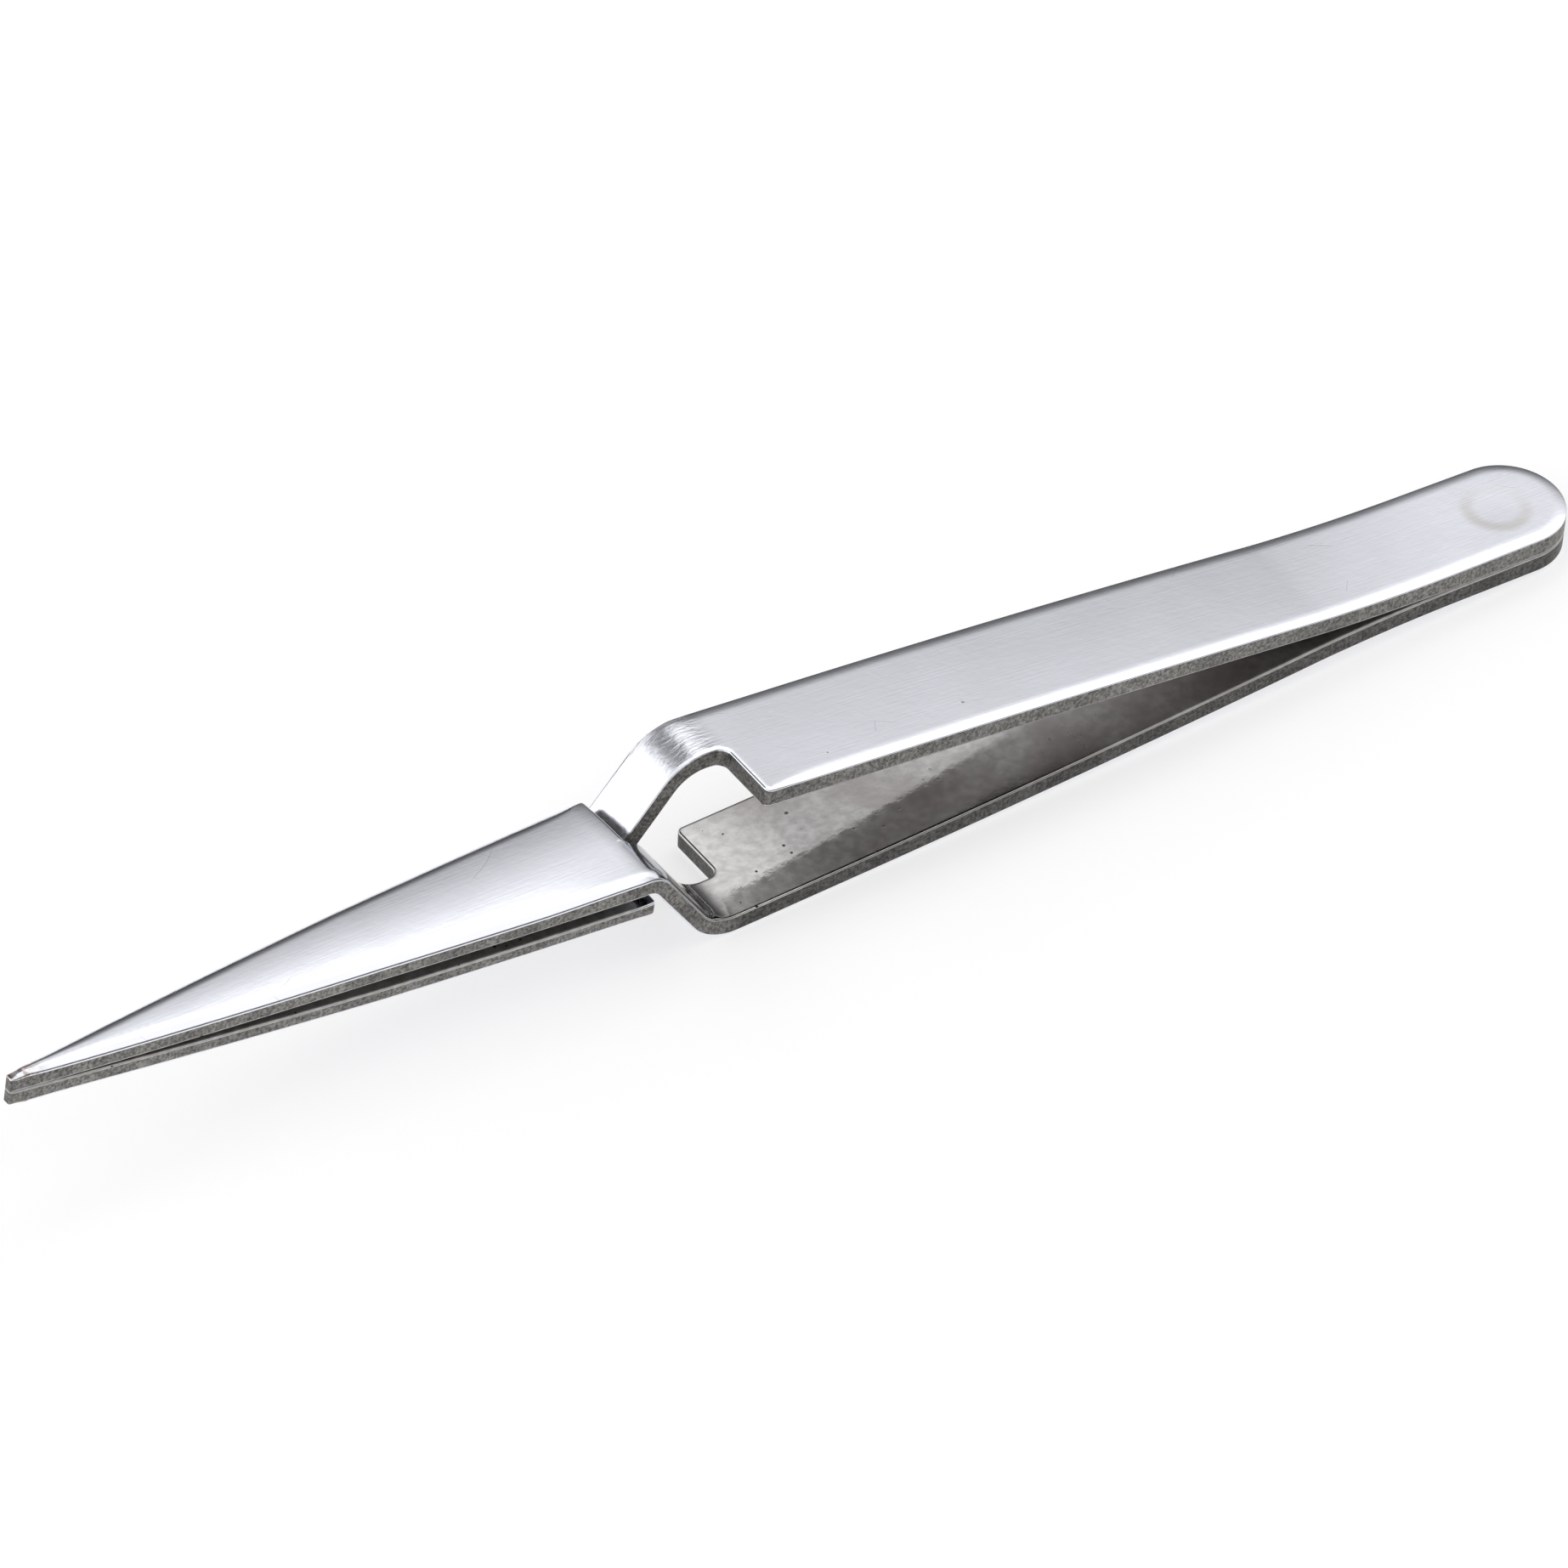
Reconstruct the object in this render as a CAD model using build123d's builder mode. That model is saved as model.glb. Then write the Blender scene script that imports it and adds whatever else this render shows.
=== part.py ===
from build123d import *
import os
from math import asin, atan2, cos, hypot, radians, sin, tan

# Reverse-action tweezers: two identical bent steel arms that cross and are spot-welded at the tail.
# All lengths are in millimetres and all angles in degrees.
# Each arm is drawn beside the plane where the two arms meet: x runs from the tip (0) to the tail,
# y is the width and z stands up from that plane. The handle of this arm is above it, its jaw below.

# The strip that an arm is bent from
overall_length = 120.0
strip_thickness = 1.43
jaw_base_width = 8.75
tail_width = 7.9
edge_chamfer = 0.12
square_limit = 0.01

# The bends, along the middle of the strip
tail_flat_length = 15.0
tail_bend_radius = 142.0
handle_slope = 4.8
crossing_x = 51.9
crossing_bend_radius = 3.5
neck_slope = 52.8
jaw_bend_radius = 1.7
jaw_land = 0.5

# The half-width notch that lets the two necks pass each other
handle_front_setback = 2.95
neck_gap = 1.0
notch_corner_radius = 0.7
handle_corner_radius = 0.5
jaw_back_clearance = 0.3

# The jaw
jaw_gap = 0.8
jaw_parallel_x = 27.0
tip_contact_length = 2.0
tip_width = 0.65
jaw_middle_width = 5.45
tip_thickness = 1.3
jaw_crown = 0.22
jaw_base_crown = 0.01
jaw_edge_radius = 0.65
widest_round = 0.42
jaw_fade_length = 8.0
tip_bevel_length = 1.1
tip_bevel_depth = 0.25
jaw_sections = 6

# The spot weld's dimple on each outer face
weld_setback = 4.7
weld_diameter = 4.4
weld_depth = 0.06

half_thickness = strip_thickness / 2
slope = radians(handle_slope)
steep = radians(neck_slope)
tail_bend_x = overall_length - tail_flat_length
handle_front_x = crossing_x + handle_front_setback
weld_x = overall_length - weld_setback

# Corners of the middle line, from the jaw to the tail
jaw_middle_z = -(jaw_gap / 2 + half_thickness)
crossing_z = half_thickness + (tail_bend_x - crossing_x) * tan(slope)
neck_foot_x = crossing_x - (crossing_z - jaw_middle_z) / tan(steep)
jaw_end_x = neck_foot_x - jaw_bend_radius * tan(steep / 2) - jaw_land

# The free half of the jaw stops short of the other arm's neck by the clearance
neck_face_x = neck_foot_x - half_thickness * sin(steep) + (
    jaw_gap / 2 - jaw_middle_z - half_thickness * cos(steep)
) / tan(steep)
jaw_back_x = neck_face_x - jaw_back_clearance / sin(steep)

# Centre of the crossing bend
bend_tangent = crossing_bend_radius * tan((slope + steep) / 2)
bend_centre_x = crossing_x + bend_tangent * cos(slope) - crossing_bend_radius * sin(slope)
bend_centre_z = crossing_z - bend_tangent * sin(slope) - crossing_bend_radius * cos(slope)

# The tweezers lie on the lower arm's crossing bend and on the end of its tail: the tilt is that of
# the line that touches the bend and the chamfered tail from below
tail_edge_x = overall_length - edge_chamfer
rise = bend_centre_z - strip_thickness
run = tail_edge_x - bend_centre_x
rest_tilt = atan2(rise, run) + asin((crossing_bend_radius + half_thickness) / hypot(run, rise))
rest_height = tail_edge_x * sin(rest_tilt) + strip_thickness * cos(rest_tilt)

# Meeting plane of the two arms as they lie, seen from above and turned over for the other arm
rest_origin = (-overall_length * cos(rest_tilt) / 2, 0, rest_height)
length_direction = (cos(rest_tilt), 0, -sin(rest_tilt))
up_direction = (sin(rest_tilt), 0, cos(rest_tilt))
meeting_plane = Plane(origin=rest_origin, x_dir=length_direction, z_dir=up_direction)
turned_plane = Plane(origin=rest_origin, x_dir=length_direction, z_dir=-meeting_plane.z_dir)


def jaw_width(x):
    """Width of the jaw, a gentle curve through its tip, middle and base widths."""
    share = x / jaw_end_x
    at_tip = tip_width * (1 - share) * (1 - 2 * share)
    at_middle = jaw_middle_width * 4 * share * (1 - share)
    at_base = jaw_base_width * share * (2 * share - 1)
    return at_tip + at_middle + at_base


def jaw_inner_z(x):
    """Height of the gripping face: on the meeting plane at the tip, then falling away from it."""
    share = (x - tip_contact_length) / (jaw_parallel_x - tip_contact_length)
    return -jaw_gap / 2 * min(max(share, 0), 1)


def jaw_thickness(x):
    """Thickness of the jaw, ground a little thinner towards the tip."""
    return tip_thickness + (strip_thickness - tip_thickness) * x / jaw_end_x


def section_plane(plane, x):
    """Plane across the strip at x, its own x along the width and its own y up."""
    return Plane(origin=plane.from_local_coords((x, 0, 0)), x_dir=plane.y_dir, z_dir=plane.x_dir)


def jaw_section(plane, x, bevel=0.0, free_half=False):
    """D-shaped section of the jaw at x: flat gripping face, crowned and rounded outer face."""
    width = jaw_width(x)
    top = jaw_inner_z(x)
    bottom = top - jaw_thickness(x) + bevel
    form = min((jaw_end_x - x) / jaw_fade_length, 1.0)
    crown = jaw_base_crown + (jaw_crown - jaw_base_crown) * form * width / jaw_base_width
    outer_radius = edge_chamfer + (jaw_edge_radius - edge_chamfer) * form
    with BuildSketch(section_plane(plane, x)) as section:
        with BuildLine():
            Polyline(
                (-width / 2, bottom + crown),
                (-width / 2, top),
                (width / 2, top),
                (width / 2, bottom + crown),
            )
            ThreePointArc((width / 2, bottom + crown), (0, bottom), (-width / 2, bottom + crown))
        make_face()
        fillet(section.vertices().group_by(Axis.Y)[0], min(outer_radius, widest_round * width))
        chamfer(section.vertices().group_by(Axis.Y)[-1], edge_chamfer)
        if free_half:
            with Locations((neck_gap / 2, 0)):
                Rectangle(width, overall_length, align=(Align.MAX, Align.CENTER), mode=Mode.INTERSECT)
    return section.sketch


def bent_arm(plane):
    """One arm, its handle on the upper side of the plane and its jaw on the lower side."""
    side = Plane(origin=plane.origin, x_dir=plane.x_dir, z_dir=-plane.y_dir)
    with BuildPart() as arm:
        # Strip bent to the profile of the neck, handle and tail
        with BuildSketch(side):
            with BuildLine() as middle_line:
                FilletPolyline(
                    (jaw_end_x, jaw_middle_z),
                    (neck_foot_x, jaw_middle_z),
                    (crossing_x, crossing_z),
                    (tail_bend_x, half_thickness),
                    (overall_length, half_thickness),
                    radius=[jaw_bend_radius, crossing_bend_radius, tail_bend_radius],
                )
            trace(middle_line.line, line_width=strip_thickness)
        extrude(amount=jaw_base_width, both=True)

        # Outline of the blank: parallel to the crossing, then gently narrowing to the round tail
        base_corner = (jaw_end_x, jaw_base_width / 2)
        shoulder = (crossing_x, jaw_base_width / 2)
        tail_corner = (overall_length - tail_width / 2, tail_width / 2)
        with BuildSketch(plane) as blank:
            with BuildLine():
                Line(base_corner, shoulder)
                TangentArc(shoulder, tail_corner, tangent=(1, 0))
                ThreePointArc(tail_corner, (overall_length, 0), (tail_corner[0], -tail_corner[1]))
                TangentArc(
                    (shoulder[0], -shoulder[1]), (tail_corner[0], -tail_corner[1]), tangent=(1, 0)
                )
                Line((shoulder[0], -shoulder[1]), (base_corner[0], -base_corner[1]))
                Line((base_corner[0], -base_corner[1]), base_corner)
            make_face()
            with Locations((handle_front_x, neck_gap / 2)):
                Rectangle(overall_length, jaw_base_width, align=(Align.MAX, Align.MAX), mode=Mode.SUBTRACT)
            front = blank.edges().filter_by(Axis.Y).sort_by(Axis.X)[-1]
            inner_corner = front.vertices().sort_by(Axis.Y)[-1]
            outer_corner = front.vertices().sort_by(Axis.Y)[0]
            fillet(inner_corner, notch_corner_radius)
            fillet(outer_corner, handle_corner_radius)
        extrude(amount=overall_length, both=True, mode=Mode.INTERSECT)

        # Broken edges all along the strip, apart from the end that joins the jaw. Side faces stand
        # square to the meeting plane, and only their upright corners run along its normal.
        def is_side(face):
            behind_jaw = plane.to_local_coords(face.center()).X > neck_foot_x
            return behind_jaw and abs(face.normal_at().dot(plane.z_dir)) < square_limit

        def is_long(edge):
            return abs(edge.tangent_at(0.5).dot(plane.z_dir)) < 1 - square_limit

        rims = arm.faces().filter_by(is_side).edges().filter_by(is_long)
        chamfer(rims, edge_chamfer)

        # Straight back of the jaw on its free half
        extrude(jaw_section(plane, jaw_end_x, free_half=True), amount=jaw_back_x - jaw_end_x)

        # Jaw, lofted through its sections, with a short bevel at the tip
        step = (jaw_end_x - tip_bevel_length) / (jaw_sections - 1)
        stations = [tip_bevel_length + step * number for number in range(jaw_sections)]
        loft(sections=[jaw_section(plane, x) for x in stations])
        loft(sections=[jaw_section(plane, 0, tip_bevel_depth), jaw_section(plane, tip_bevel_length)])

        # Dimple that the welding electrode leaves
        dish_radius = (weld_diameter ** 2 / 4 + weld_depth ** 2) / (2 * weld_depth)
        with BuildSketch(side) as dish:
            with Locations((weld_x, strip_thickness - weld_depth + dish_radius)):
                Circle(dish_radius)
            with Locations((weld_x, 0)):
                Rectangle(weld_diameter, overall_length, align=(Align.MIN, Align.CENTER), mode=Mode.INTERSECT)
        weld_axis = Axis(plane.from_local_coords((weld_x, 0, 0)), plane.z_dir)
        revolve(axis=weld_axis, mode=Mode.SUBTRACT)
    return arm


upper_arm = bent_arm(meeting_plane)
upper_arm.part.label = "upper_arm"

lower_arm = bent_arm(turned_plane)
lower_arm.part.label = "lower_arm"

os.makedirs("parts", exist_ok=True)
export_step(upper_arm.part, "parts/upper_arm.step")
export_step(lower_arm.part, "parts/lower_arm.step")
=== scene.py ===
# Reverse-action tweezers on a pale studio floor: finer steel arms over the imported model
import bpy
import math
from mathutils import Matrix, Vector
from mathutils.geometry import delaunay_2d_cdt


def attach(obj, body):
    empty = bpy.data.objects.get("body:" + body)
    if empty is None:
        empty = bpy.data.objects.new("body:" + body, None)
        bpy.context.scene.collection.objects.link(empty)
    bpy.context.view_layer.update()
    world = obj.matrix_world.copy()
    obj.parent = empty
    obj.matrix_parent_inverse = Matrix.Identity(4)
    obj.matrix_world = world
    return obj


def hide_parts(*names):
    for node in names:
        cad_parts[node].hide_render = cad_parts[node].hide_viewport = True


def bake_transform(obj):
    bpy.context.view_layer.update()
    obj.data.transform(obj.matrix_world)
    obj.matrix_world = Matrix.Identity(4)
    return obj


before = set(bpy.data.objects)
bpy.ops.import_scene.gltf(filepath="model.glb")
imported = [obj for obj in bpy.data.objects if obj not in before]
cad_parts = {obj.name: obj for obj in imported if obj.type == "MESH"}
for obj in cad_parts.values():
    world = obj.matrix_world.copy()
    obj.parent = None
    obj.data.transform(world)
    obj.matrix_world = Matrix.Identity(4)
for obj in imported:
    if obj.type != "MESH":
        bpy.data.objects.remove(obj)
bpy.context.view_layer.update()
scene = bpy.context.scene
mm = 0.001
print("frame loaded")


# camera at the viewing angle of the photo
cameraSet = {
    "location": (-1.479916, -2.005836, 2.326301),
    "rotation": (47.0117, -2.2457, -34.3234),  # degrees
    "lens": 1227.71,
    "sensor": 36.0,
    "nearest": 0.1,
    "farthest": 50.0,
}


def makeCamera(cfg):
    data = bpy.data.cameras.new("photoCamera")
    data.sensor_fit = "HORIZONTAL"
    data.sensor_width = cfg["sensor"]
    data.lens = cfg["lens"]
    data.clip_start = cfg["nearest"]
    data.clip_end = cfg["farthest"]
    cam = bpy.data.objects.new("photoCamera", data)
    cam.location = cfg["location"]
    cam.rotation_euler = [math.radians(a) for a in cfg["rotation"]]
    scene.collection.objects.link(cam)
    scene.camera = cam


makeCamera(cameraSet)
scene.view_settings.view_transform = "Standard"
print("camera set")


def newMaterial(name):
    mat = bpy.data.materials.new(name)
    mat.use_nodes = True
    tree = mat.node_tree
    tree.nodes.clear()
    out = tree.nodes.new("ShaderNodeOutputMaterial")
    return mat, tree, out


def addNode(tree, kind, inputs=None, **props):
    node = tree.nodes.new(kind)
    for key, value in props.items():
        setattr(node, key, value)
    for key, value in (inputs or {}).items():
        if isinstance(value, bpy.types.NodeSocket):
            tree.links.new(value, node.inputs[key])
        else:
            node.inputs[key].default_value = value
    return node


def mathNode(tree, operation, a, b=0.0, clamp=False):
    return addNode(tree, "ShaderNodeMath", {0: a, 1: b}, operation=operation, use_clamp=clamp).outputs[0]


def smoothBetween(tree, value, low, high, toLow=0.0, toHigh=1.0):
    node = addNode(tree, "ShaderNodeMapRange", {"Value": value, "From Min": low, "From Max": high,
                   "To Min": toLow, "To Max": toHigh}, interpolation_type="SMOOTHSTEP")
    return node.outputs[0]


def mixColour(tree, factor, a, b):
    node = addNode(tree, "ShaderNodeMix", {0: factor}, data_type="RGBA")
    for socket, value in ((node.inputs[6], a), (node.inputs[7], b)):
        if isinstance(value, bpy.types.NodeSocket):
            tree.links.new(value, socket)
        else:
            socket.default_value = (*value, 1.0)
    return node.outputs[2]


# white surroundings and a pale floor, with screens that only the steel sees
studio = {
    "floorRadius": 9.0,
    "floorColour": (0.5, 0.5, 0.5),
    "floorGlow": 0.55,  # lifts the open paper to white for the camera and in reflections
    "surroundings": 1.0,
    "rampStrength": 1.6,
    # distance in m; azimuth from +X, elevation, lean, width and height in degrees; brightness; soft rim
    "screens": {
        "gradedScreen": (1.5, 45.5, 33.2, -25.1, 76, 62, None, 0.02),
        "neckFlag": (1.4, 98, 52, 0, 46, 30, 0.08, 0.28),
        "overheadPanel": (1.7, 0, 82, 0, 75, 62, 1.2, 0.12),
        "backHorizonFlag": (1.7, 60, 2, 0, 150, 26, 0.05, 0.2),
        "tipPanel": (1.6, 150, 24, 0, 70, 46, 1.35, 0.1),
        "frontFlag": (1.6, -75, 22, 0, 120, 44, 0.16, 0.1),
    },
    # place up the graded screen and share of its full strength
    "ramp": ((0.0, 0.06), (0.2, 0.1), (0.26, 0.13), (0.346, 0.2), (0.432, 0.34), (0.515, 0.5), (0.58, 0.6),
             (0.641, 0.8), (0.7, 1.0)),
}


def makeWorld(strength):
    world = bpy.data.worlds.new("studioWorld")
    scene.world = world
    world.use_nodes = True
    background = world.node_tree.nodes["Background"]
    background.inputs["Color"].default_value = (1.0, 1.0, 1.0, 1.0)
    background.inputs["Strength"].default_value = strength


def makeFloor(cfg):
    steps = 96
    ring = [(cfg["floorRadius"] * math.cos(2 * math.pi * k / steps),
             cfg["floorRadius"] * math.sin(2 * math.pi * k / steps), 0.0) for k in range(steps)]
    mesh = bpy.data.meshes.new("studioFloor")
    mesh.from_pydata(ring, [], [tuple(range(steps))])
    floor = bpy.data.objects.new("studioFloor", mesh)
    scene.collection.objects.link(floor)
    mat, tree, out = newMaterial("paperWhite")
    shader = addNode(tree, "ShaderNodeBsdfPrincipled", {"Base Color": (*cfg["floorColour"], 1.0),
                     "Roughness": 0.9, "Specular IOR Level": 0.0})
    path = addNode(tree, "ShaderNodeLightPath")
    seen = mathNode(tree, "MAXIMUM", path.outputs["Is Camera Ray"], path.outputs["Is Glossy Ray"])
    lift = addNode(tree, "ShaderNodeEmission", {"Color": (1.0, 1.0, 1.0, 1.0),
                   "Strength": mathNode(tree, "MULTIPLY", seen, cfg["floorGlow"])})
    both = addNode(tree, "ShaderNodeAddShader", {0: shader.outputs[0], 1: lift.outputs[0]})
    tree.links.new(both.outputs[0], out.inputs[0])
    mesh.materials.append(mat)


def makeScreen(name, distance, azimuth, elevation, lean, width, height, brightness, rim):
    az, el, turn = (math.radians(a) for a in (azimuth, elevation, lean))
    middle = Vector((math.cos(az) * math.cos(el), math.sin(az) * math.cos(el), math.sin(el)))
    level = Vector((-math.sin(az), math.cos(az), 0.0))
    rising = middle.cross(level)
    upward = rising * math.cos(turn) + level * math.sin(turn)
    across = level * math.cos(turn) - rising * math.sin(turn)
    halfW = distance * math.tan(math.radians(width / 2))
    halfH = distance * math.tan(math.radians(height / 2))
    corners = [middle * distance + across * (halfW * i) + upward * (halfH * j)
               for i, j in ((-1, -1), (1, -1), (1, 1), (-1, 1))]
    mesh = bpy.data.meshes.new(name)
    mesh.from_pydata(corners, [], [(0, 1, 2, 3)])
    uv = mesh.uv_layers.new(name="screenUV")
    for loop, spot in zip(uv.data, ((0, 0), (1, 0), (1, 1), (0, 1))):
        loop.uv = spot
    screen = bpy.data.objects.new(name, mesh)
    scene.collection.objects.link(screen)
    mat, tree, out = newMaterial(name + "Light")
    uvNode = addNode(tree, "ShaderNodeUVMap", uv_map="screenUV")
    parts = addNode(tree, "ShaderNodeSeparateXYZ", {0: uvNode.outputs[0]})
    inside = []
    for axis in (0, 1):
        fromMiddle = mathNode(tree, "ABSOLUTE", mathNode(tree, "SUBTRACT", parts.outputs[axis], 0.5))
        inside.append(mathNode(tree, "SUBTRACT", 0.5, fromMiddle))
    edge = mathNode(tree, "MINIMUM", inside[0], inside[1])
    mask = smoothBetween(tree, edge, 0.0, rim)
    clear = addNode(tree, "ShaderNodeBsdfTransparent")
    if brightness is None:
        ramp = addNode(tree, "ShaderNodeValToRGB", {0: parts.outputs[1]})
        stops = ramp.color_ramp.elements
        while len(stops) < len(studio["ramp"]):
            stops.new(0.5)
        for stop, (place, share) in zip(stops, studio["ramp"]):
            stop.position = place
            stop.color = (share, share, share, 1.0)
        glow = addNode(tree, "ShaderNodeEmission", {"Color": ramp.outputs[0],
                       "Strength": studio["rampStrength"]})
    else:
        glow = addNode(tree, "ShaderNodeEmission", {"Color": (1.0, 1.0, 1.0, 1.0), "Strength": brightness})
    mix = addNode(tree, "ShaderNodeMixShader", {0: mask, 1: clear.outputs[0], 2: glow.outputs[0]})
    tree.links.new(mix.outputs[0], out.inputs[0])
    mesh.materials.append(mat)
    screen.visible_camera = False


makeWorld(studio["surroundings"])
makeFloor(studio)
for screenName, screenCfg in studio["screens"].items():
    makeScreen(screenName, *screenCfg)
print("studio set")


# the strip that both arms are bent from, in mm and degrees, x from the tip to the tail
strip = {
    "length": 120.0,
    "thickness": 1.43,
    "baseWidth": 8.75,
    "tailWidth": 7.9,
    "tailFlat": 15.0,
    "tailBendRadius": 142.0,
    "handleSlope": 4.8,
    "crossingX": 51.9,
    "crossingRadius": 3.5,
    "neckSlope": 52.8,
    "footRadius": 1.7,
    "handleSetback": 2.95,
    "neckGap": 1.0,
    "notchRadius": 0.7,
    "frontRadius": 0.5,
    "backClearance": 0.3,
    "backRadius": 0.36,
    "edgeChamfer": 0.12,
    "bow": 0.22,
    "handleCrown": 0.03,
}

jaw = {
    "gap": 0.8,
    "parallelX": 27.0,
    "contactLength": 2.0,
    "tipWidth": 0.65,
    "middleWidth": 5.45,
    "tipThickness": 1.3,
    "crown": 0.25,
    "apexShift": 0.12,  # share of the half width
    "fadeLength": 8.0,
    "bevelLength": 1.1,
    "bevelDepth": 0.25,
    "land": 0.5,
}

weld = {"setback": 4.7, "diameter": 4.4, "depth": 0.02}

# worn edges of the strip: width of the shallow roll, its drop, radius of the corner that ends it (mm)
rounding = {
    "handleOuter": (0.95, 0.12, 0.07),
    "neckOuter": (0.35, 0.04, 0.09),
    "neckInner": (0.9, 0.22, 0.2),
    "notch": (0.35, 0.05, 0.13),
    "inner": (0.25, 0.03, 0.12),
    "jawOuter": (0.9, 0.17, 0.2),
    "jawBack": (0.35, 0.2, 0.2),
    "widest": 0.42,
    "tipInset": 0.1,
    "cornerFade": 3.5,
    "rollSteps": 6,
    "cornerSteps": 6,
}


# how finely the blank is cut up, in mm
meshing = {
    "tipStep": 0.12,
    "bendStep": 0.14,
    "plainStep": 0.6,
    "rowStep": 0.55,
    "edgeRoom": 0.15,
    "tipReach": 3.0,
    "tailRoom": 1.1,  # kept free inside the round tail
    "backSteps": 36,
    "tailSteps": 72,
    "tipRadius": 0.15,
}


def smoothStep(low, high, value):
    t = min(max((value - low) / (high - low), 0.0), 1.0)
    return t * t * (3 - 2 * t)


def bendsOf(cfg):
    half = cfg["thickness"] / 2
    slope, steep = math.radians(cfg["handleSlope"]), math.radians(cfg["neckSlope"])
    tailX = cfg["length"] - cfg["tailFlat"]
    startZ = -(jaw["gap"] / 2 + half)
    crossZ = half + (tailX - cfg["crossingX"]) * math.tan(slope)
    footX = cfg["crossingX"] - (crossZ - startZ) / math.tan(steep)
    cutFoot = cfg["footRadius"] * math.tan(steep / 2)
    cutCross = cfg["crossingRadius"] * math.tan((steep + slope) / 2)
    cutTail = cfg["tailBendRadius"] * math.tan(slope / 2)
    neck = (crossZ - startZ) / math.sin(steep)
    handle = (tailX - cfg["crossingX"]) / math.cos(slope)

    # the jaw's free half stops short of the other arm's neck
    overFoot = jaw["gap"] / 2 - startZ - half * math.cos(steep)
    neckFaceX = footX - half * math.sin(steep) + overFoot / math.tan(steep)
    backX = neckFaceX - cfg["backClearance"] / math.sin(steep)

    # the part lies on the lower arm's crossing bend and on the end of its tail
    edgeX = cfg["length"] - cfg["edgeChamfer"]
    rise = crossZ - cutCross * math.sin(slope) - cfg["crossingRadius"] * math.cos(slope) - cfg["thickness"]
    run = edgeX - cfg["crossingX"] - cutCross * math.cos(slope) + cfg["crossingRadius"] * math.sin(slope)
    tilt = math.atan2(rise, run) + math.asin((cfg["crossingRadius"] + half) / math.hypot(run, rise))
    height = edgeX * math.sin(tilt) + cfg["thickness"] * math.cos(tilt)
    return startZ, backX, tilt, height, [  # length and turn of each stretch of the middle line
        (footX - cutFoot, 0.0),
        (cfg["footRadius"] * steep, steep),
        (neck - cutFoot - cutCross, 0.0),
        (cfg["crossingRadius"] * (steep + slope), -steep - slope),
        (handle - cutCross - cutTail, 0.0),
        (cfg["tailBendRadius"] * slope, slope),
        (cfg["tailFlat"] - cutTail, 0.0),
    ]


startZ, jawBackX, restTilt, restHeight, bends = bendsOf(strip)
stripLength = sum(length for length, turn in bends)
bendStarts = [sum(length for length, turn in bends[:k]) for k in range(len(bends))]
jawEndX = bendStarts[1] - jaw["land"]


def alongStrip(s):
    x, z, heading = 0.0, startZ, 0.0
    for k, (length, turn) in enumerate(bends):
        last = k == len(bends) - 1
        step = s if last else min(s, length)
        if turn:
            radius = length / turn
            angle = step / radius
            x += radius * (math.sin(heading + angle) - math.sin(heading))
            z += radius * (math.cos(heading) - math.cos(heading + angle))
            heading += angle
        else:
            x += step * math.cos(heading)
            z += step * math.sin(heading)
        s -= step
        if s <= 0:
            break
    return x, z, heading


def distanceAt(x):
    low, high = 0.0, stripLength
    for k in range(50):
        middle = (low + high) / 2
        if alongStrip(middle)[0] < x:
            low = middle
        else:
            high = middle
    return low


def bowAt(s):
    t = min(max((s - bendStarts[4]) / bends[4][0], 0.0), 1.0)
    return strip["bow"] * 4 * t * (1 - t)


crossS = distanceAt(strip["crossingX"])
frontS = distanceAt(strip["crossingX"] + strip["handleSetback"])
tailS = stripLength - strip["tailWidth"] / 2
footS, neckS = bendStarts[1], bendStarts[2]
bendS, handleS = bendStarts[3], bendStarts[4]


def halfWidth(s):
    if s < jawEndX:
        t = s / jawEndX
        wide = (jaw["tipWidth"] * (1 - t) * (1 - 2 * t) + jaw["middleWidth"] * 4 * t * (1 - t)
                + strip["baseWidth"] * t * (2 * t - 1))
        return wide / 2
    t = min(max((s - crossS) / (tailS - crossS), 0.0), 1.0)
    return (strip["baseWidth"] - (strip["baseWidth"] - strip["tailWidth"]) * t * t) / 2


def upperFace(s, y):
    if s < jawEndX:
        t = (s - jaw["contactLength"]) / (jaw["parallelX"] - jaw["contactLength"])
        return -jaw["gap"] / 2 * min(max(t, 0.0), 1.0) - startZ
    crowned = smoothStep(handleS, handleS + 6, s) * (1 - smoothStep(tailS - 12, tailS - 4, s))
    height = strip["thickness"] / 2 - strip["handleCrown"] * crowned * (y / halfWidth(s)) ** 2
    reach = math.hypot(s - stripLength + weld["setback"], y) / (weld["diameter"] / 2)
    if reach < 1:
        height -= weld["depth"] * (1 - reach * reach)
    return height


def lowerFace(s, y):
    if s > jawBackX:
        return -strip["thickness"] / 2
    thick = jaw["tipThickness"] + (strip["thickness"] - jaw["tipThickness"]) * min(s / jawEndX, 1.0)
    joined = smoothStep(-0.5, 1.5, y)  # only the half that runs on into the neck loses its crown
    form = 1 - joined * (1 - smoothStep(0, jaw["fadeLength"], jawEndX - s))
    wide = halfWidth(s)
    crown = jaw["crown"] * form * wide * 2 / strip["baseWidth"] * (y / wide - jaw["apexShift"]) ** 2
    bevel = jaw["bevelDepth"] * max(1 - s / jaw["bevelLength"], 0.0)
    return upperFace(min(s, jawEndX), 0) - thick + crown + bevel


def place(s, y, n):
    x, z, heading = alongStrip(s)
    n += bowAt(s)
    straight = 1 - smoothStep(0.1, 0.6, y)  # the jaw's free half runs on straight past the foot bend
    if footS < s < jawBackX + 0.05 and straight > 0:
        x += (s - x) * straight
        z += (startZ - z) * straight
        heading *= 1 - straight
    x, z = x - n * math.sin(heading), z + n * math.cos(heading)
    return x, y, z


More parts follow.
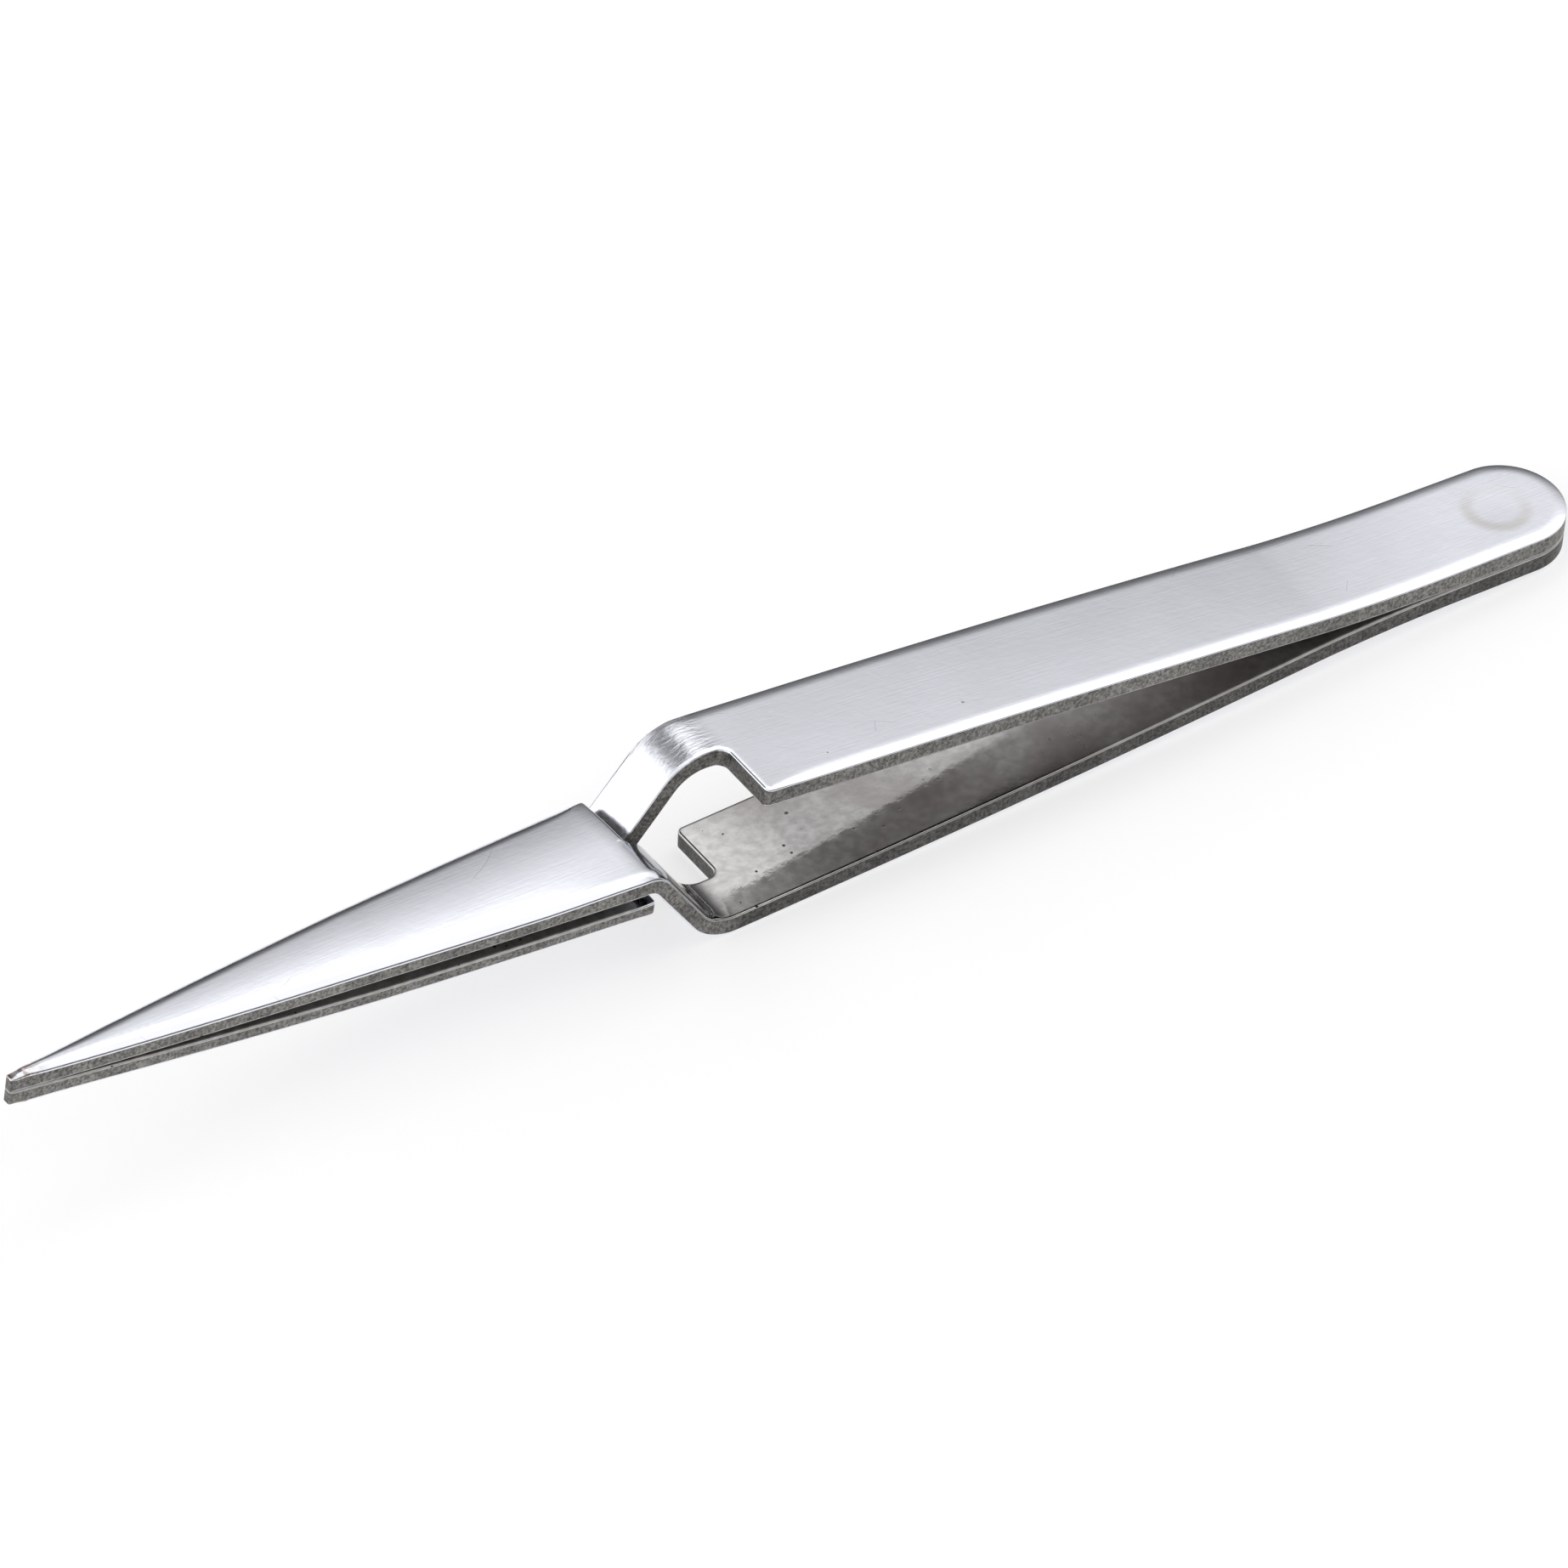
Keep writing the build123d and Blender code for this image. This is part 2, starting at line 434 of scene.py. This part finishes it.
def arcPoints(cx, cy, radius, start, end, count):
    angles = [math.radians(start + (end - start) * k / count) for k in range(count + 1)]
    return [(cx + radius * math.cos(a), cy + radius * math.sin(a)) for a in angles]


def spacing(s):
    if s < meshing["tipReach"]:
        return meshing["tipStep"]
    if footS - 1 < s < handleS + 1:
        return meshing["bendStep"]
    return meshing["plainStep"]


def walk(start, end):
    sign = 1 if end > start else -1
    stops, s = [start], start
    while (end - s) * sign > spacing(s) * 1.5:
        s += sign * spacing(s)
        stops.append(s)
    return stops


def outline():
    gap, corner = strip["neckGap"] / 2, strip["frontRadius"]
    backS, back = jawBackX, strip["backRadius"]
    notch, tipR = strip["notchRadius"], meshing["tipRadius"]
    half = halfWidth(backS)
    points = [(s, -halfWidth(s), "jaw") for s in walk(tipR, backS - back)]
    points += [(s, y, "back") for s, y in arcPoints(backS - back, -half + back, back, -90, 0, 8)]
    rise = meshing["backSteps"]
    points += [(backS, -half + back + (gap - tipR + half - back) * k / rise, "back") for k in range(1, rise)]
    points += [(s, y, "back") for s, y in arcPoints(backS + tipR, gap - tipR, tipR, 180, 90, 6)]
    points += [(s, gap, "neck") for s in walk(backS + tipR + 0.1, frontS - notch)]
    points += [(s, y, "notch") for s, y in arcPoints(frontS - notch, gap - notch, notch, 90, 0, 12)]
    half = halfWidth(frontS)
    top, bottom = gap - notch, -half + corner
    points += [(frontS, top + (bottom - top) * k / rise, "notch") for k in range(1, rise)]
    points += [(s, y, "notch") for s, y in arcPoints(frontS + corner, bottom, corner, 180, 270, 14)]
    points += [(s, -halfWidth(s), "handle") for s in walk(frontS + corner + 0.15, tailS)]
    radius = strip["tailWidth"] / 2
    points += [(s, y, "tail") for s, y in arcPoints(tailS, 0, radius, -90, 90, meshing["tailSteps"])]
    points += [(s, halfWidth(s), "far") for s in walk(tailS - 0.4, tipR)]
    tipHalf = halfWidth(0) - tipR
    points += [(s, y, "tip") for s, y in arcPoints(tipR, tipHalf, tipR, 90, 180, 5)]
    points += [(s, y, "tip") for s, y in arcPoints(tipR, -tipHalf, tipR, 180, 270, 5)]
    return points


def between(a, b, share):
    return tuple(first + (second - first) * share for first, second in zip(a, b))


def rimProfile(roll, drop, corner):
    turn = math.atan2(2 * drop, max(roll - corner, 0.02))  # slope at which the roll meets the corner
    flat = roll - corner * (1 - math.sin(turn))
    points = []
    for k in range(rounding["rollSteps"]):
        t = k / rounding["rollSteps"]
        points.append((roll - flat * t, drop * t * t))
    for k in range(rounding["cornerSteps"] + 1):
        angle = turn + (math.pi / 2 - turn) * k / rounding["cornerSteps"]
        points.append((corner * (1 - math.sin(angle)), drop + corner * (math.cos(turn) - math.cos(angle))))
    return points


def roundingAt(s, y, kind):
    outer, inner = rounding["handleOuter"], rounding["inner"]
    limit = rounding["widest"] * 2 * halfWidth(max(s, 0.0))
    limit = min(limit, rounding["tipInset"] + smoothStep(0.1, 1.6, s) * 2)
    if kind == "back":
        return inner, rounding["jawBack"]
    if kind == "neck":
        return rounding["neckOuter"], inner
    if kind == "notch":
        return rounding["notch"], inner
    if kind == "tip" or kind == "jaw" or s < jawEndX:
        form = smoothStep(0.4, 2.6, jawBackX - s) if y < 0 else 1.0
        roll, drop, corner = between(rounding["jawBack"], rounding["jawOuter"], form)
        roll = min(roll, limit)
        corner = min(corner, roll)
        drop = min(drop, roll * 0.5)
        return (min(inner[0], limit), inner[1], min(inner[2], limit)), (roll, drop, corner)
    if kind == "handle":
        return between(rounding["notch"], outer, smoothStep(0, rounding["cornerFade"], s - frontS)), inner
    if kind == "far" and s < crossS:
        start = inner if s < footS else rounding["neckOuter"]
        under = between(rounding["jawOuter"], rounding["neckInner"], smoothStep(footS, neckS, s))
        return (between(start, outer, smoothStep(neckS, handleS, s)),
                between(under, inner, smoothStep(bendS, handleS, s)))
    return outer, inner


def finishAt(s, side):
    polishedHere = s > footS if side > 0 else s < neckS  # handle's outer face and jaw's outer face
    return 0 if polishedHere else 2


def evenOut(values, rounds):
    count = len(values)
    for r in range(rounds):
        values = [(values[k - 1] + 2 * values[k] + values[(k + 1) % count]) / 4 for k in range(count)]
    return values


def makeArm(name, turned, seed):
    # rings of the two rims, drawn on the flat blank
    edge = outline()
    count = len(edge)
    normals = []
    for k in range(count):
        ahead, behind = edge[(k + 1) % count], edge[k - 1]
        ds, dy = ahead[0] - behind[0], ahead[1] - behind[1]
        size = math.hypot(ds, dy)
        normals.append((dy / size, -ds / size))
    sizes = [roundingAt(*p) for p in edge]
    blank, zones, faces, rings = [], [], [], []
    for side in (1, -1):
        which = 0 if side > 0 else 1
        rims = zip(*(evenOut([v[which][k] for v in sizes], 4) for k in range(3)))
        profiles = [rimProfile(*rim)[::side] for rim in rims]
        for step in range(len(profiles[0])):
            ring = []
            for k in range(count):
                inset, drop = profiles[k][step]
                s, y = edge[k][0] - normals[k][0] * inset, edge[k][1] - normals[k][1] * inset
                n = upperFace(s, y) - drop if side > 0 else lowerFace(s, y) + drop
                ring.append(len(blank))
                blank.append((s, y, n))
            rings.append(ring)
    sideBand = len(rings) // 2 - 1
    for r in range(len(rings) - 1):
        for k in range(count):
            m = (k + 1) % count
            faces.append((rings[r][k], rings[r + 1][k], rings[r + 1][m], rings[r][m]))
            s = (edge[k][0] + edge[m][0]) / 2
            zones.append(1 if r == sideBand else finishAt(s, 1 if r < sideBand else -1))

    # the two faces inside the rims
    columns = walk(0.4, stripLength - 1.0)
    for ring, face, side in ((rings[0], upperFace, 1), (rings[-1], lowerFace, -1)):
        flat = [Vector(blank[v][:2]) for v in ring]
        known = list(ring)
        for s in columns:
            wide = halfWidth(s) - meshing["edgeRoom"]
            inset = rounding["jawOuter" if side < 0 and s < jawEndX else "handleOuter"][0]
            high = wide - min(inset, wide * 0.84)
            low = -high
            if s > tailS:
                reach = (strip["tailWidth"] / 2) ** 2 - (s - tailS) ** 2
                high = math.sqrt(max(reach, 0)) - meshing["tailRoom"]
                low = -high
            if jawBackX - 0.35 < s < frontS + 0.3:
                low = strip["neckGap"] / 2 + 0.4
            if high - low < 0.2:
                continue
            rows = max(int((high - low) / meshing["rowStep"]), 2)
            for j in range(rows + 1):
                y = low + (high - low) * j / rows
                known.append(len(blank))
                flat.append(Vector((s, y)))
                blank.append((s, y, face(s, y)))
        loops = [(k, (k + 1) % count) for k in range(count)]
        result = delaunay_2d_cdt(flat, loops, [], 1, 1e-5)
        origin = [known[ids[0]] for ids in result[3]]
        for tri in result[2]:
            corners = [origin[v] for v in tri]
            s = sum(blank[v][0] for v in corners) / 3
            faces.append(tuple(corners) if side > 0 else tuple(reversed(corners)))
            zones.append(finishAt(s, side))

    # bent to shape and laid down as the part lies
    flip = -1 if turned else 1
    verts = []
    for s, y, n in blank:
        x, across, z = place(s, y, n)
        across, z = flip * across, flip * z
        along = (x - strip["length"] / 2) * math.cos(restTilt) + z * math.sin(restTilt)
        rise = restHeight - x * math.sin(restTilt) + z * math.cos(restTilt)
        verts.append((mm * along, mm * across, mm * rise))
    mesh = bpy.data.meshes.new(name)
    mesh.from_pydata(verts, [], faces)
    mesh.polygons.foreach_set("material_index", zones)
    mesh.polygons.foreach_set("use_smooth", [True] * len(faces))
    blankPlace = mesh.attributes.new("blankPlace", "FLOAT_VECTOR", "POINT")
    blankPlace.data.foreach_set("vector", [value for s, y, n in blank for value in (s, y, n + seed)])
    mesh.update()
    arm = bpy.data.objects.new(name, mesh)
    scene.collection.objects.link(arm)
    print(name, "built with", len(verts), "vertices and", len(faces), "faces")
    return arm


# steel finishes, drawn in the strip's own flat coordinates so that they bend with it
polished = {
    "colour": (0.81, 0.82, 0.88),
    "paintedNeckShade": 0.5,
    "roughness": 0.15,
    "brushing": (0.22, 7.0, 7.0),
    "bump": 0.1,
    "bumpDepth": 0.00006,  # m
    "markColour": (0.2, 0.19, 0.18),
    "weldRing": (0.25, 0.05, 0.75),  # inset of the ring, soft from and to (mm)
    "mottle": 2.2,
    "streaks": (1.4, 5.0, 5.0),
    "streakBump": 1.1,
    "weldTintAndShade": (0.6, 0.57, 0.53),
    "tipTint": (0.42, 0.34, 0.3),
    "scratches": ((62.0, 0.34, 0.012, 0.64), (-38.0, 0.27, 0.012, 0.66)),  # angle, lines per mm, width, cover
    "pits": (0.55, 0.045, 0.82),  # cells per mm, radius in cells, share of cells left out
}
tarnished = {
    "colour": (0.64, 0.635, 0.63),
    "shadeColour": (0.47, 0.44, 0.43),
    "roughness": 0.07,
    "farRoughness": 0.3,  # added between the handles, towards the weld
    "paintedNeckShade": 0.5,
    "paintedHandleShade": 0.6,
    "mottle": 1.4,
    "bump": 0.22,
    "bumpDepth": 0.00004,
    "pitColour": (0.03, 0.03, 0.03),
    "pits": (1.1, 0.09, 0.6),
}
sheared = {
    "dark": (0.085, 0.08, 0.075),
    "light": (0.31, 0.305, 0.29),
    "grit": 4.5,
    "roughness": 0.42,
    "bump": 0.6,
    "bumpDepth": 0.00008,
    "lowerPaintedShade": 0.48,  # painted shade: the lower arm's handle sides are made darker
    "crossingPaintedShade": 0.85,
}


def flatPlace(tree):
    spot = addNode(tree, "ShaderNodeAttribute", attribute_name="blankPlace").outputs["Vector"]
    parts = addNode(tree, "ShaderNodeSeparateXYZ", {0: spot})
    return spot, parts.outputs[0], parts.outputs[1], parts.outputs[2]


def stretched(tree, spot, scale, detail=4.0, size=1.0):
    placed = addNode(tree, "ShaderNodeMapping", {"Vector": spot, "Scale": scale}).outputs[0]
    return addNode(tree, "ShaderNodeTexNoise", {"Vector": placed, "Scale": size, "Detail": detail}).outputs[0]


def plainNoise(tree, spot, scale, detail):
    return addNode(tree, "ShaderNodeTexNoise", {"Vector": spot, "Scale": scale, "Detail": detail}).outputs[0]


def pitMask(tree, spot, cfg):
    cells, radius, leftOut = cfg
    voronoi = addNode(tree, "ShaderNodeTexVoronoi", {"Vector": spot, "Scale": cells})
    chance = addNode(tree, "ShaderNodeSeparateColor", {0: voronoi.outputs["Color"]})
    chosen = mathNode(tree, "GREATER_THAN", chance.outputs[0], leftOut)
    size = mathNode(tree, "MULTIPLY", chance.outputs[1], radius * 1.4)
    away = mathNode(tree, "SUBTRACT", voronoi.outputs["Distance"], size)
    hole = smoothBetween(tree, away, 0.0, radius * 0.6, 1.0, 0.0)
    return mathNode(tree, "MULTIPLY", hole, chosen)


def scratchMask(tree, spot, s, y, cfg):
    angle, density, width, cover = cfg
    wobble = plainNoise(tree, spot, 0.12, 1.0)
    along = mathNode(tree, "MULTIPLY", s, math.cos(math.radians(angle)))
    across = mathNode(tree, "MULTIPLY", y, math.sin(math.radians(angle)))
    line = mathNode(tree, "ADD", along, across)
    line = mathNode(tree, "ADD", line, mathNode(tree, "MULTIPLY", wobble, 6.0))
    phase = mathNode(tree, "FRACT", mathNode(tree, "MULTIPLY", line, density))
    away = mathNode(tree, "ABSOLUTE", mathNode(tree, "SUBTRACT", phase, 0.5))
    thin = smoothBetween(tree, away, 0.0, width, 1.0, 0.0)
    patch = plainNoise(tree, spot, 0.3, 1.0)
    return mathNode(tree, "MULTIPLY", thin, smoothBetween(tree, patch, cover, cover + 0.03))


# handle tops, jaw backs and the neck: polished, with painted shade under the neck
def polishedMaterial(name, cfg):
    mat, tree, out = newMaterial(name)
    spot, s, y, n = flatPlace(tree)
    brushing = stretched(tree, spot, cfg["brushing"])
    mottle = plainNoise(tree, spot, cfg["mottle"], 3.0)
    cloud = plainNoise(tree, spot, 0.25, 4.0)
    colour = mixColour(tree, cloud, [c * 0.955 for c in cfg["colour"]], [c * 1.045 for c in cfg["colour"]])
    # painted shade: from about the foot bend on, the underside's polished colour is mixed halfway towards
    # black
    level = addNode(tree, "ShaderNodeMath", {0: n, 1: 20.0, 2: -20.0}, operation="WRAP").outputs[0]
    under = mathNode(tree, "MULTIPLY", smoothBetween(tree, level, -0.3, 0.3, 1.0, 0.0),
                     smoothBetween(tree, s, footS - 1.0, footS + 1.2, 0.0, 1 - cfg["paintedNeckShade"]))
    colour = mixColour(tree, under, colour, (0.0, 0.0, 0.0))

    # faint warm ring round the weld's dimple, partly the weld's tint and partly painted shade of the dimple's
    # wall, stronger towards the tip and the near edge
    fromWeld = mathNode(tree, "SUBTRACT", s, stripLength - weld["setback"])
    reach = mathNode(tree, "SQRT", mathNode(tree, "ADD", mathNode(tree, "MULTIPLY", fromWeld, fromWeld),
                                            mathNode(tree, "MULTIPLY", y, y)))
    inset, softFrom, softTo = cfg["weldRing"]
    offRing = mathNode(tree, "ABSOLUTE", mathNode(tree, "SUBTRACT", reach, weld["diameter"] / 2 - inset))
    ring = smoothBetween(tree, offRing, softFrom, softTo, 1.0, 0.0)
    lean = mathNode(tree, "ADD", mathNode(tree, "MULTIPLY", fromWeld, -0.25),
                    mathNode(tree, "MULTIPLY", y, -0.3))
    weldRingAndShade = mathNode(tree, "MULTIPLY", ring, smoothBetween(tree, lean, -0.9, 0.8, 0.08, 0.6))
    colour = mixColour(tree, weldRingAndShade, colour, cfg["weldTintAndShade"])

    # browned by heat at the very tip
    tipMark = mathNode(tree, "MULTIPLY", smoothBetween(tree, s, 0.8, 3.0, 1.0, 0.0),
                       smoothBetween(tree, mottle, 0.42, 0.6, 0.0, 0.9))
    colour = mixColour(tree, tipMark, colour, cfg["tipTint"])
    marks = pitMask(tree, spot, cfg["pits"])
    for scratch in cfg["scratches"]:
        faint = mathNode(tree, "MULTIPLY", scratchMask(tree, spot, s, y, scratch), 0.4)
        marks = mathNode(tree, "MAXIMUM", marks, faint)
    colour = mixColour(tree, mathNode(tree, "MULTIPLY", marks, 0.6), colour, cfg["markColour"])

    # stretch marks where the strip bends down into the neck
    onBend = mathNode(tree, "MULTIPLY", smoothBetween(tree, s, bendS - 0.3, bendS + 0.8),
                      smoothBetween(tree, s, handleS - 0.4, handleS + 1.4, 1.0, 0.0))
    streaks = stretched(tree, spot, cfg["streaks"], 3.0)
    height = mathNode(tree, "ADD", mathNode(tree, "MULTIPLY", brushing, 0.6),
                      mathNode(tree, "MULTIPLY", mottle, 0.8))
    marksOnBend = mathNode(tree, "MULTIPLY", streaks, onBend)
    height = mathNode(tree, "ADD", height,
                      mathNode(tree, "MULTIPLY", marksOnBend, cfg["streakBump"] / cfg["bump"]))
    height = mathNode(tree, "SUBTRACT", height, mathNode(tree, "MULTIPLY", marks, 2.0))
    bump = addNode(tree, "ShaderNodeBump", {"Height": height, "Strength": cfg["bump"],
                   "Distance": cfg["bumpDepth"]})
    rough = mathNode(tree, "ADD", mathNode(tree, "MULTIPLY", cloud, 0.1), cfg["roughness"] - 0.05)
    rough = mathNode(tree, "ADD", rough, mathNode(tree, "MULTIPLY", onBend, 0.1))
    shader = addNode(tree, "ShaderNodeBsdfPrincipled", {"Base Color": colour, "Metallic": 1.0,
                     "Roughness": rough, "Normal": bump.outputs[0]})
    tree.links.new(shader.outputs[0], out.inputs[0])
    return mat


# inner faces: stained and pitted, rougher towards the weld and on the gripping faces, with painted shade at
# the neck bend and between the handles
def tarnishedMaterial(name, cfg):
    mat, tree, out = newMaterial(name)
    spot, s, y, n = flatPlace(tree)
    cloud = plainNoise(tree, spot, cfg["mottle"], 6.0)
    broad = plainNoise(tree, spot, 0.16, 3.0)
    colour = mixColour(tree, smoothBetween(tree, cloud, 0.3, 0.7), [c * 0.8 for c in cfg["colour"]],
                       [c * 1.1 for c in cfg["colour"]])
    stain = mathNode(tree, "MULTIPLY", smoothBetween(tree, broad, 0.4, 0.62, 0.15, 0.85),
                     smoothBetween(tree, s, handleS, handleS + 14.0, 0.35, 1.0))
    colour = mixColour(tree, stain, colour, cfg["shadeColour"])
    # painted shade: mixed towards black at the neck bend and further back between the handles, easing off
    # towards the weld
    neckPaintedShade = smoothBetween(tree, s, bendS + 0.5, handleS + 1.0, 1 - cfg["paintedNeckShade"], 0.0)
    neckPaintedShade = mathNode(tree, "MULTIPLY", neckPaintedShade, smoothBetween(tree, s, footS, footS + 0.5))
    handlePaintedShade = smoothBetween(tree, s, handleS + 2.0, handleS + 8.0, 0.0, 1 - cfg["paintedHandleShade"])
    handlePaintedShade = mathNode(tree, "MULTIPLY", handlePaintedShade, smoothBetween(tree, s, 72.0, 90.0, 1.0, 0.2))
    colour = mixColour(tree, mathNode(tree, "ADD", neckPaintedShade, handlePaintedShade), colour, (0.0, 0.0, 0.0))
    pits = pitMask(tree, spot, cfg["pits"])
    nearFront = smoothBetween(tree, s, handleS + 4.0, handleS + 16.0, 1.0, 0.25)
    pits = mathNode(tree, "MULTIPLY", pits, nearFront)
    colour = mixColour(tree, pits, colour, cfg["pitColour"])
    height = mathNode(tree, "SUBTRACT", cloud, mathNode(tree, "MULTIPLY", pits, 1.5))
    bump = addNode(tree, "ShaderNodeBump", {"Height": height, "Strength": cfg["bump"],
                   "Distance": cfg["bumpDepth"]})
    rough = mathNode(tree, "ADD", mathNode(tree, "MULTIPLY", cloud, 0.06), cfg["roughness"] - 0.02)
    onJaw = smoothBetween(tree, s, footS - 1.0, footS, 1.0, 0.0)
    behind = mathNode(tree, "MAXIMUM", smoothBetween(tree, s, 72.0, 92.0), onJaw)
    rough = mathNode(tree, "ADD", rough, mathNode(tree, "MULTIPLY", behind, cfg["farRoughness"]))
    shader = addNode(tree, "ShaderNodeBsdfPrincipled", {"Base Color": colour, "Metallic": 1.0,
                     "Roughness": rough, "Normal": bump.outputs[0]})
    tree.links.new(shader.outputs[0], out.inputs[0])
    return mat


# cut sides of the strip, with painted shade near the crossing and on the lower arm's handle
def shearedMaterial(name, cfg, paintedHandleShade):
    mat, tree, out = newMaterial(name)
    spot, s, y, n = flatPlace(tree)
    grit = addNode(tree, "ShaderNodeTexNoise", {"Vector": spot, "Scale": cfg["grit"], "Detail": 8.0,
                   "Roughness": 0.7}).outputs[0]
    lines = stretched(tree, spot, (7.0, 7.0, 0.7), 3.0)
    broad = plainNoise(tree, spot, 0.3, 3.0)
    shade = mathNode(tree, "ADD", mathNode(tree, "MULTIPLY", grit, 0.85),
                     mathNode(tree, "MULTIPLY", lines, 0.15))
    colour = mixColour(tree, smoothBetween(tree, shade, 0.36, 0.66), cfg["dark"], cfg["light"])
    # painted shade: sides made darker near the crossing of the arms, and on the lower arm's handle
    crossingShadeMask = mathNode(tree, "MULTIPLY", smoothBetween(tree, s, footS - 3.0, footS + 1.0),
                            smoothBetween(tree, s, frontS + 1.0, frontS + 9.0, 1.0, 0.0))
    handleSideShade = smoothBetween(tree, s, crossS, handleS + 2.0, 1.0, paintedHandleShade)
    darker = mathNode(tree, "MULTIPLY", crossingShadeMask, 1 - cfg["crossingPaintedShade"])
    factor = mathNode(tree, "MULTIPLY", handleSideShade, mathNode(tree, "SUBTRACT", 1.0, darker))
    factor = mathNode(tree, "MULTIPLY", factor, smoothBetween(tree, broad, 0.35, 0.65, 0.85, 1.12))
    scaled = addNode(tree, "ShaderNodeVectorMath", {0: colour, "Scale": factor}, operation="SCALE").outputs[0]
    bump = addNode(tree, "ShaderNodeBump", {"Height": shade, "Strength": cfg["bump"],
                   "Distance": cfg["bumpDepth"]})
    shader = addNode(tree, "ShaderNodeBsdfPrincipled", {"Base Color": scaled, "Metallic": 1.0,
                     "Roughness": cfg["roughness"], "Normal": bump.outputs[0]})
    tree.links.new(shader.outputs[0], out.inputs[0])
    return mat


polishedSteel = polishedMaterial("polishedSteel", polished)
tarnishedSteel = tarnishedMaterial("tarnishedSteel", tarnished)
shearedUpper = shearedMaterial("shearedEdgeUpper", sheared, 1.0)
# shaded copy of the side finish for the lower arm, with painted shade on its handle sides
shearedLowerShaded = shearedMaterial("shearedEdgeLowerShaded", sheared, sheared["lowerPaintedShade"])

upperArm = makeArm("upperArmSteel", False, 0.0)
lowerArm = makeArm("lowerArmSteel", True, 40.0)
for arm, node, shearedSteel in ((upperArm, "upper_arm", shearedUpper), (lowerArm, "lower_arm", shearedLowerShaded)):
    for finish in (polishedSteel, shearedSteel, tarnishedSteel):
        arm.data.materials.append(finish)
    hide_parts(node)


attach(lowerArm, "lower")
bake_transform(upperArm)
print("arms dressed")
